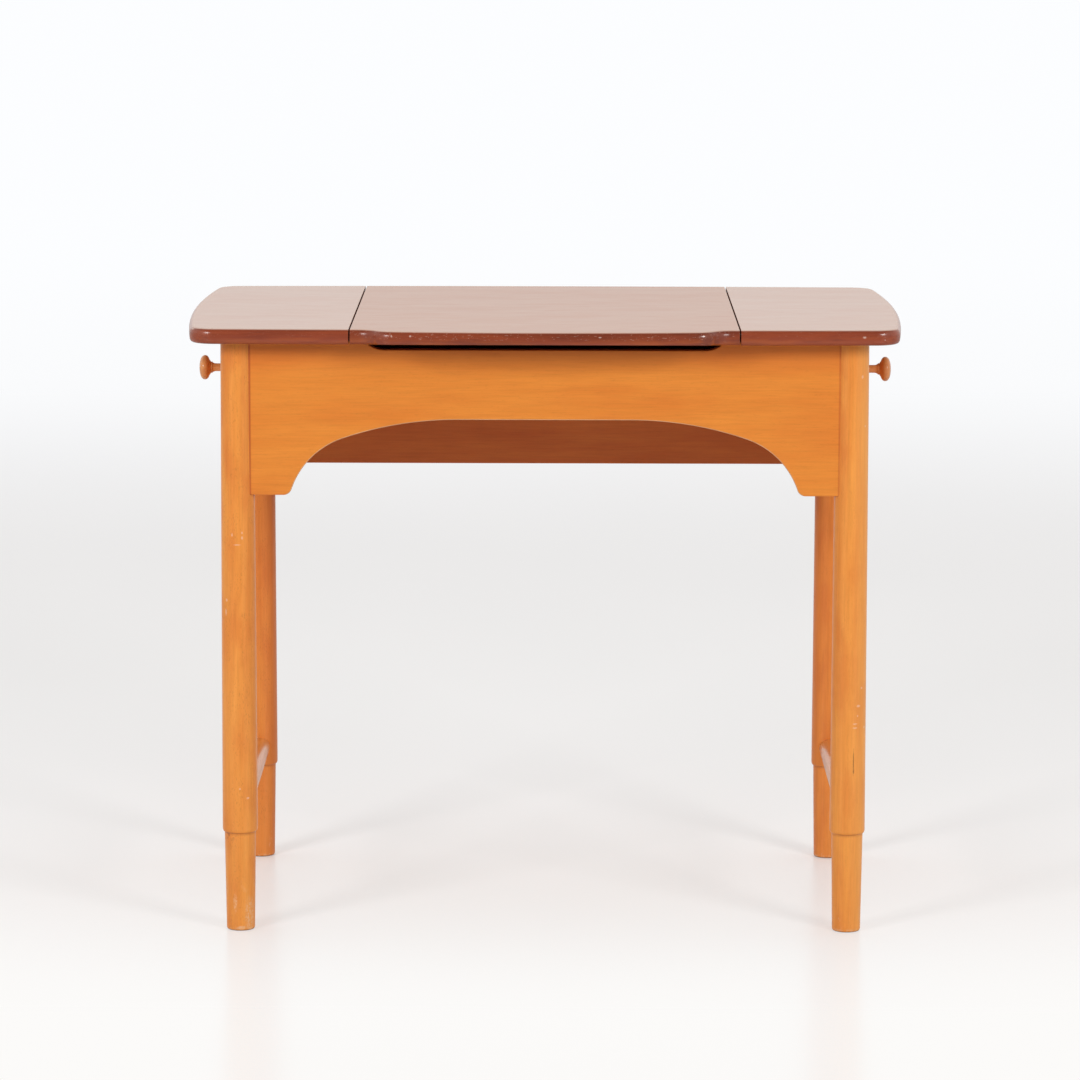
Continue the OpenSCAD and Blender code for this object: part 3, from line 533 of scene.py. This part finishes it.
# Compartment. Two partitions are housed in the aprons, and a thin plywood floor lies on two cleats
# glued to the aprons. Everything inside is beech under one thin coat of lacquer.
inner_arris = 0.0006
plywood_arris = 0.0003
inner_beech = beech(
    "inner_beech", "Y", pale=(0.66, 0.34, 0.13), dark=(0.52, 0.22, 0.07), red=(0.50, 0.19, 0.06),
    shift=(0.3, 0, 0)
)
cleat_beech = beech(
    "cleat_beech", "X", pale=(0.62, 0.30, 0.12), dark=(0.50, 0.21, 0.07), red=(0.48, 0.18, 0.06)
)
plywood = beech(
    "floor_plywood", "X", pale=(0.72, 0.47, 0.25), dark=(0.60, 0.35, 0.16), red=(0.60, 0.31, 0.14),
    shift=(0, 0.7, 0)
)
for node in ("partition_left", "partition_right", "top_cleat_left", "top_cleat_right"):
    eased_copy(node, "table", inner_arris, inner_beech)
for node in ("floor_cleat_front", "floor_cleat_back"):
    eased_copy(node, "table", inner_arris, cleat_beech)
eased_copy("compartment_floor", "table", plywood_arris, plywood)


# Drawer runners. An L-shaped beech strip along each apron, glued and left thinly lacquered like the
# cleats, carries a drawer side and guides it.
for node in ("runner_left_front", "runner_left_back", "runner_right_front", "runner_right_back"):
    eased_copy(node, "table", inner_arris, cleat_beech)


# Top. One mahogany board is shaped with bowed edges, rounded corners and a lip that ends in an ogee
# at each side, moulded round all over, and then sawn into a flap and two side panels.
top_level = 0.7200


def mahogany(name, shift, pale, dark, faded_and_sheen, gloss, marks=(), grain="X"):
    """Reddish brown mahogany under a glossier lacquer: long fine pores, slow bands, fiery streaks made stronger
    low on the edge as a painted warm bounce light, an upper face painted pale, partly faded lacquer and partly
    a painted sheen of the white room, and given chips among fine scuffs."""
    finish = Finish(name, Specular_IOR_Level=0.06, Coat_Weight=gloss, Coat_IOR=1.5, Coat_Roughness=0.23)
    height = finish.along("Z")
    bands = finish.noise(along_grain(finish, grain, 0.14, shift), 24, 3, 0.55, 1.2)
    bands = finish.between(bands, 0.33, 0.68)
    pores = finish.noise(along_grain(finish, grain, 0.06, shift), 520, 3, 0.6)
    drift = finish.noise(along_grain(finish, grain, 0.5, shift), 9, 4, 0.6)
    colour = finish.blend(bands, pale, dark)
    colour = finish.blend(finish.between(pores, 0.5, 0.8) * 0.4, colour, tuple(0.35 * c for c in dark))
    fiery_and_warm_bounce = finish.noise(along_grain(finish, grain, 0.09, shift), 150, 3, 0.6)
    # Painted warm bounce light: the fiery streaks are stronger low on the edge.
    warm_bounce_low_edge = finish.under(height, top_level - 0.014, top_level - 0.005)
    fiery_and_warm_bounce = finish.between(fiery_and_warm_bounce, 0.40, 0.66) * (warm_bounce_low_edge * 0.42 + 0.12)
    colour = finish.blend(fiery_and_warm_bounce, colour, (0.37, 0.074, 0.010))

    # The upper face is painted pale: partly faded lacquer, partly a painted sheen of the white room.
    face = finish.between(height, top_level - 0.0012, top_level - 0.00005)
    reddish = tuple(c * f for c, f in zip(faded_and_sheen, (0.97, 0.82, 0.73)))
    cloudy = finish.noise(finish.stretched((0.32, 0.62, 1), (0.7, 0.2, 0)), 38, 4, 0.62)
    redder = bands * 0.22 + finish.between(drift, 0.40, 0.64) * 0.20 + finish.between(cloudy, 0.36, 0.68) * 0.48
    colour = finish.blend(face * (0.98 - pores * 0.14), colour, finish.blend(redder, faded_and_sheen, reddish))
    roughness = 0.40 + pores * 0.06 + drift * 0.08 + face * 0.5

    if marks:
        scuffs = finish.noise(finish.stretched((0.45, 1, 1.6), (0.3, 0, 0.1)), 620, 2, 0.6)
        upper_edge = finish.between(height, top_level - 0.0100, top_level - 0.0075) * (1 - face)
        scuffs = finish.between(scuffs, 0.63, 0.69) * upper_edge
        scuffs = scuffs * (1 - finish.between(abs(finish.along("X")), 0.21, 0.23) * 0.75)
        scuffs = scuffs * (1 - finish.between(finish.along("Y"), -0.20, -0.10) * 0.8)
        colour = finish.blend(scuffs * 0.45, colour, (0.66, 0.40, 0.30))
        colour = finish.blend(chips(finish, marks) * 0.6, colour, (0.74, 0.55, 0.46))
    return finish.coat(colour, roughness, pores * -0.5, 0.00005)


def bow_radius(half_chord, rise):
    return (half_chord**2 + rise**2) / (2 * rise)


def meeting_point(first, first_r, second, second_r):
    """Where circles round two centres cross, on the right of the way from the first to the second."""
    way = (second - first).normalized()
    apart = (second - first).length
    along = (apart**2 + first_r**2 - second_r**2) / (2 * apart)
    return first + way * along + math.sqrt(first_r**2 - along**2) * Vector((way.y, -way.x, 0))


def bearing(start, end):
    return math.degrees(math.atan2(end.y - start.y, end.x - start.x))


half_width = 0.423
half_depth = 0.266
lip_front = -0.281
edge_bow, end_bow, lip_bow = 0.0075, 0.014, 0.012
lip_half = 0.201
edge_r = bow_radius(half_width, edge_bow)
end_r = bow_radius(half_depth, end_bow)
lip_r = bow_radius(lip_half, lip_bow)
edge_round, edge_fullness = 0.0086, 0.66
saw_arris = 0.0005
corner_r = 0.030
ogee_r = 0.028
ogee_shoulder_x = 0.173
front_c = Vector((0, middle_y + edge_r - half_depth, 0))
back_c = Vector((0, middle_y - edge_r + half_depth, 0))
end_c = Vector((half_width - end_r, middle_y, 0))
lip_c = Vector((0, lip_r + lip_front, 0))
ogee_c = Vector((ogee_shoulder_x, lip_c.y - math.sqrt((lip_r - ogee_r) ** 2 - ogee_shoulder_x**2), 0))
hollow_c = meeting_point(ogee_c, 2 * ogee_r, front_c, edge_r + ogee_r)
corner_c = meeting_point(end_c, end_r - corner_r, front_c, edge_r - corner_r)
back_corner_c = Vector((corner_c.x, 2 * middle_y - corner_c.y, 0))


def top_board(name, low):
    """The whole board from low to the top's level, before it is sawn."""
    lip_end = bearing(lip_c, ogee_c)
    ogee_end = bearing(ogee_c, hollow_c)
    front_corner = bearing(front_c, corner_c)
    end_corner = bearing(end_c, corner_c)
    outline = Profile(name, (0, lip_front, low))
    for centre, first, last, steps in (
        (lip_c, -90, lip_end, 12),
        (ogee_c, lip_end, ogee_end, 12),
        (hollow_c, ogee_end + 180, bearing(hollow_c, front_c), 12),
        (front_c, bearing(front_c, hollow_c), front_corner, 6),
        (corner_c, front_corner, end_corner, 16),
        (end_c, end_corner, -end_corner, 24),
        (back_corner_c, -end_corner, -front_corner, 16),
        (back_c, -front_corner, 90, 10),
    ):
        turn = (last - first + 180) % 360 - 180
        outline.arc((centre.x, centre.y, low), turn, steps, (0, 0, 1))
    close_board(outline, (0, 0, top_level - low))
    select_edges(outline.piece, lambda a, b: abs(a.z - b.z) < 1e-6)
    bpy.ops.mesh.bevel(offset=edge_round, segments=12, profile=edge_fullness, affect="EDGES")
    return outline.piece


def saw(piece, x, keep):
    """Saws the board along x and eases the new edges. keep is 1 for the part beyond x and -1 for the rest."""
    bpy.ops.mesh.select_all(action="SELECT")
    bpy.ops.mesh.bisect(plane_co=(x, 0, 0), plane_no=(-keep, 0, 0), use_fill=True, clear_outer=True)
    select_edges(piece, lambda a, b: abs(a.x - x) < 1e-6 and abs(b.x - x) < 1e-6)
    bpy.ops.mesh.bevel(offset=saw_arris, segments=2, affect="EDGES")


panel_cut = 0.2268
side_mahogany = mahogany(
    "side_mahogany", (0, 0, 0), pale=(0.30, 0.050, 0.013), dark=(0.20, 0.030, 0.008),
    faded_and_sheen=(0.595, 0.372, 0.268), gloss=1.0,
    marks=[
        ((0.3693, -0.246, 0.7122), (0.0022, 0.006, 0.0013)),
        ((0.3930, -0.240, 0.7090), (0.0008, 0.006, 0.0008)),
        ((-0.4085, -0.228, 0.7185), (0.0030, 0.006, 0.0010)),
    ]
)
panel = top_board("right_side_panel", frame_top)
saw(panel, panel_cut, 1)
bpy.ops.object.mode_set(mode="OBJECT")
bpy.ops.object.select_all(action="DESELECT")
panel.select_set(True)
bpy.context.view_layer.objects.active = panel
bpy.ops.object.duplicate()
other_panel = bpy.context.object
other_panel.name = "left_side_panel"
other_panel.data = other_panel.data.copy()
bpy.ops.transform.mirror(constraint_axis=(True, False, False))
bpy.ops.object.transform_apply(location=True, rotation=True, scale=True)
bpy.ops.object.mode_set(mode="EDIT")
bpy.ops.mesh.select_all(action="SELECT")
bpy.ops.mesh.normals_make_consistent(inside=False)
bpy.ops.object.mode_set(mode="OBJECT")
for board, side in ((panel, "right"), (other_panel, "left")):
    finish_piece(board, "table", f"top_panel_{side}")
    board.data.materials.append(side_mahogany)


# Flap. It is the middle of the same board, hinged at its back edge, and lies half a millimetre above
# the frame. Its lip stands out in front for the fingers, and is chipped where rings and keys hit it.
flap_low = frame_top + 0.0005
flap_cut = 0.2252
easing_start = -0.243
easing_slope = 0.098
flap_mahogany = mahogany(
    "flap_mahogany", (0.5, 0.3, 0), pale=(0.235, 0.038, 0.011), dark=(0.155, 0.024, 0.007),
    faded_and_sheen=(0.585, 0.325, 0.212), gloss=0.85,
    marks=[
        ((-0.1763, -0.2714, 0.7153), (0.0009, 0.006, 0.0014)),
        ((-0.1545, -0.2736, 0.7153), (0.0014, 0.006, 0.0012)),
        ((0.1828, -0.2707, 0.7156), (0.0013, 0.006, 0.0011)),
        ((0.0635, -0.2798, 0.7150), (0.0018, 0.006, 0.0007)),
    ]
)
flap = top_board("mirror_flap", flap_low)
bpy.ops.mesh.select_all(action="SELECT")
bpy.ops.mesh.bisect(
    plane_co=(0, easing_start, flap_low), plane_no=(0, -easing_slope, -1), use_fill=True, clear_outer=True
)
saw(flap, flap_cut, -1)
saw(flap, -flap_cut, 1)
flap = finish_piece(flap, "flap", "centre_flap")
flap.data.materials.append(flap_mahogany)


# Mirror. A plate of silvered glass lies against the underside of the flap. Four mahogany beads,
# mitred at the corners and rebated behind, hold it.
glass_arris = 0.0006
bead_arris = 0.0012
silvering = Finish("silvered_glass", Metallic=1.0, Coat_Weight=0.3, Coat_Roughness=0.02)
haze = silvering.noise(silvering.place, 14, 3)
mirror_finish = silvering.coat(
    silvering.blend(silvering.between(haze, 0.5, 0.9) * 0.2, (0.86, 0.89, 0.88), (0.78, 0.80, 0.78)),
    0.02 + silvering.between(haze, 0.6, 0.9) * 0.05, haze, 0.000001
)
eased_copy("mirror_glass", "flap", glass_arris, mirror_finish)
bead_red = (0.34, 0.08, 0.045)
bead_dark = (0.24, 0.05, 0.03)
bead_across = mahogany("bead_mahogany_across", (0.2, 0.1, 0.4), bead_red, bead_dark, faded_and_sheen=bead_red, gloss=0.5)
bead_along = mahogany(
    "bead_mahogany_along", (0.6, 0.4, 0.1), bead_red, bead_dark, faded_and_sheen=bead_red, gloss=0.5, grain="Y"
)
for edge, finish in (("front", bead_across), ("back", bead_across), ("left", bead_along), ("right", bead_along)):
    eased_copy(f"mirror_bead_{edge}", "flap", bead_arris, finish)


# Hinges and screws. Two brass butt hinges carry the flap on the back apron, each with a loose pin and
# four countersunk screws. Steel screws hold the side panels from below and the knobs from inside.
def metal(name, bright, dull, roughness):
    """Cast or rolled metal with dull patches and fine rubbing."""
    finish = Finish(name, Metallic=1.0)
    patches = finish.noise(finish.place, 45, 3, 0.5)
    rubbing = finish.noise(finish.stretched((0.1, 1, 1)), 2400, 2)
    colour = finish.blend(finish.between(patches, 0.4, 0.7), bright, dull)
    return finish.coat(colour, roughness + patches * 0.15 + rubbing * 0.08, rubbing, 0.00002)


hinge_brass = metal("dull_brass", (0.66, 0.46, 0.19), (0.50, 0.34, 0.14), 0.28)
screw_brass = metal("screw_brass", (0.50, 0.33, 0.13), (0.30, 0.19, 0.08), 0.34)
screw_steel = metal("zinc_plated_steel", (0.62, 0.63, 0.64), (0.45, 0.46, 0.47), 0.30)
hardware = {f"hinge_{side}_{piece}": hinge_brass
            for side in ("left", "right") for piece in ("frame_leaf", "flap_leaf", "pin")}
hardware |= {"hinge_screws_frame": screw_brass, "hinge_screws_flap": screw_brass}
hardware |= {"top_screws": screw_steel, "drawer_left_screw": screw_steel, "drawer_right_screw": screw_steel}
for node, finish in hardware.items():
    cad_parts[node].data.materials.clear()
    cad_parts[node].data.materials.append(finish)


# Drawers. One slides out of each end of the table: a lacquered beech front, sides rebated into it, a
# back that stands on the bottom, and a plywood bottom in grooves.
drawer_beech = beech(
    "drawer_beech", "X", pale=(0.74, 0.48, 0.25), dark=(0.62, 0.36, 0.16), red=(0.60, 0.31, 0.14)
)
drawer_back_beech = beech(
    "drawer_back_beech", "Y", pale=(0.72, 0.46, 0.24), dark=(0.60, 0.34, 0.15), red=(0.58, 0.30, 0.13)
)
for side in ("left", "right"):
    body = f"drawer_{side}"
    eased_copy(f"{body}_front", body, rail_arris, rail_beech)
    eased_copy(f"{body}_side_front", body, inner_arris, drawer_beech)
    eased_copy(f"{body}_side_back", body, inner_arris, drawer_beech)
    eased_copy(f"{body}_back", body, inner_arris, drawer_back_beech)
    eased_copy(f"{body}_bottom", body, plywood_arris, plywood)


# Knobs. Each is turned from one piece of beech: a foot against the drawer front, a thin stem, a
# collar and a mushroom head. A screw from inside the drawer holds it.
knob_z = 0.646
front_x = 0.3723
neck_r = 0.0094
head_r = 0.0148
head_half = 0.0066
head_out = 0.0390
head_power = 0.86
knob_beech = beech(
    "knob_beech", "X", pale=(0.78, 0.33, 0.110), dark=(0.65, 0.235, 0.070), red=(0.57, 0.180, 0.058), gloss=0.7
)
stem_section = [
    (0.0080, 0), (0.0080, 0.0012), (0.0070, 0.0022), (0.0056, 0.0040), (0.0050, 0.0056), (0.0048, 0.0072),
    (0.0047, 0.0180), (0.0048, 0.0262), (0.0051, 0.0278), (0.0056, 0.0290), (0.0062, 0.0298), (0.0069, 0.0302),
    (0.0069, 0.0312), (0.0066, 0.0315), (0.0071, 0.0319), (0.0083, 0.0326)
]
neck_angle = -math.acos((neck_r / head_r) ** (1 / head_power))
head_angles = [neck_angle + (math.pi / 2 - neck_angle) * step / 24 for step in range(25)]
head_section = [
    (head_r * abs(math.cos(a)) ** head_power,
     head_out + math.copysign(head_half * abs(math.sin(a)) ** head_power, a))
    for a in head_angles
]
for side, sign in (("left", -1), ("right", 1)):
    section = Profile(f"turned_knob_{side}", (sign * front_x, middle_y, knob_z))
    section.line(*[
        (sign * (front_x + out), middle_y + radius, knob_z) for radius, out in stem_section + head_section
    ])
    section.turn((0, middle_y, knob_z), (1, 0, 0), 48)
    knob = finish_piece(section.piece, f"drawer_{side}", f"drawer_{side}_knob")
    knob.data.materials.append(knob_beech)


# Room. The table stands on a pale, slightly glossy studio floor that runs out into a white background.
# Two large soft lamps in front light it from both sides, and the white room fills the shadows.
bpy.ops.object.select_all(action="DESELECT")
bpy.ops.mesh.primitive_circle_add(vertices=96, radius=18, fill_type="NGON", location=(0, 0, 0))
floor = bpy.context.object
floor.name = "studio_floor"
paint = Finish("floor_paint", Specular_IOR_Level=0.35)
from_table = paint.node("ShaderNodeVectorMath", {"operation": "LENGTH"}, {0: paint.place}, "Value")
behind_table = paint.along("Y")
cloud = paint.noise(paint.stretched((1, 0.4, 1)), 2.2, 3)
seen = paint.node("ShaderNodeLightPath", {}, {}, "Is Camera Ray")
# Painted warm bounce light: the floor is warmer near the table than further off.
floor_colour = paint.blend(paint.between(from_table, 0.5, 1.6), (0.72, 0.675, 0.63), (0.70, 0.692, 0.68))
floor_colour = paint.blend(seen, floor_colour, (0.95, 0.94, 0.93))
paint.coat(floor_colour, 0.28 + cloud * 0.12, cloud, 0.0)
far_white = paint.blend(paint.between(from_table, 1.5, 4.5), (1.0, 0.993, 0.98), (0.975, 0.985, 1.0))
white = paint.node("ShaderNodeEmission", {}, {"Color": far_white, "Strength": 1.0}, "Emission")
sheen = paint.node("ShaderNodeBsdfAnisotropic", {}, {"Roughness": 0.2}, "BSDF")
sheen_share = 0.13 - paint.between(from_table, 3.0, 9.0) * 0.13
beyond = paint.node("ShaderNodeMixShader", {}, {0: sheen_share, 1: white, 2: sheen})
open_floor = 1 - paint.between(behind_table, -0.7, 0.25) * 0.80 + paint.between(behind_table, 0.4, 1.3) * 0.16
open_floor = open_floor + paint.between(behind_table, 2.4, 5.5) * 0.64
open_floor = open_floor.combine("MAXIMUM", open_floor, paint.between(from_table, 2.6, 6.5)) * seen
painted = Signal(paint, paint.surface.outputs[0])
fade = paint.node("ShaderNodeMixShader", {}, {0: open_floor, 1: painted, 2: beyond})
paint.tree.links.new(fade.socket, paint.tree.nodes["Material Output"].inputs["Surface"])
floor.data.materials.append(paint.material)


class Air(Finish):
    """The light that comes from the white room itself, by the direction that it is seen in."""

    def __init__(self, name):
        self.world = bpy.data.worlds.new(name)
        self.world.use_nodes = True
        self.tree = self.world.node_tree
        self.place = self.node("ShaderNodeTexCoord", {}, {}, "Generated")

    def mix(self, share, first, second):
        return self.node("ShaderNodeMix", {"data_type": "FLOAT"}, {
            "Factor_Float": share, "A_Float": first, "B_Float": second})


air = Air("white_room")
bpy.context.scene.world = air.world
back_to_front = air.along("Y")
shining = air.between(back_to_front, -0.3, 0.4) * 0.55 + 0.40
mirrored = air.between(back_to_front, 0.25, 0.85) * 0.75 + 0.25
mirrored = mirrored.combine("MAXIMUM", mirrored, air.between(abs(air.along("X")), 0.30, 0.80))
glossy = air.node("ShaderNodeLightPath", {}, {}, "Is Glossy Ray")
straight = air.node("ShaderNodeLightPath", {}, {}, "Is Camera Ray")
background = air.tree.nodes["Background"]
air.feed(background.inputs["Strength"], air.mix(straight, air.mix(glossy, shining, mirrored), 1.0))
air.feed(background.inputs["Color"], air.blend(glossy, (0.975, 0.985, 1.0), (1.0, 0.955, 0.93)))

lamp_aim = Vector((0, 0, 0.45))
for name, place in (("soft_lamp_left", (-2.45, -2.95, 1.85)), ("soft_lamp_right", (2.45, -2.95, 1.85))):
    bpy.ops.object.select_all(action="DESELECT")
    bpy.ops.object.light_add(type="AREA", location=place)
    lamp = bpy.context.object
    lamp.name = name
    lamp.data.shape = "RECTANGLE"
    lamp.data.size = 1.1
    lamp.data.size_y = 0.95
    lamp.data.energy = 60
    lamp.rotation_euler = (lamp_aim - Vector(place)).to_track_quat("-Z", "Y").to_euler()

bpy.context.scene.view_settings.view_transform = "Standard"
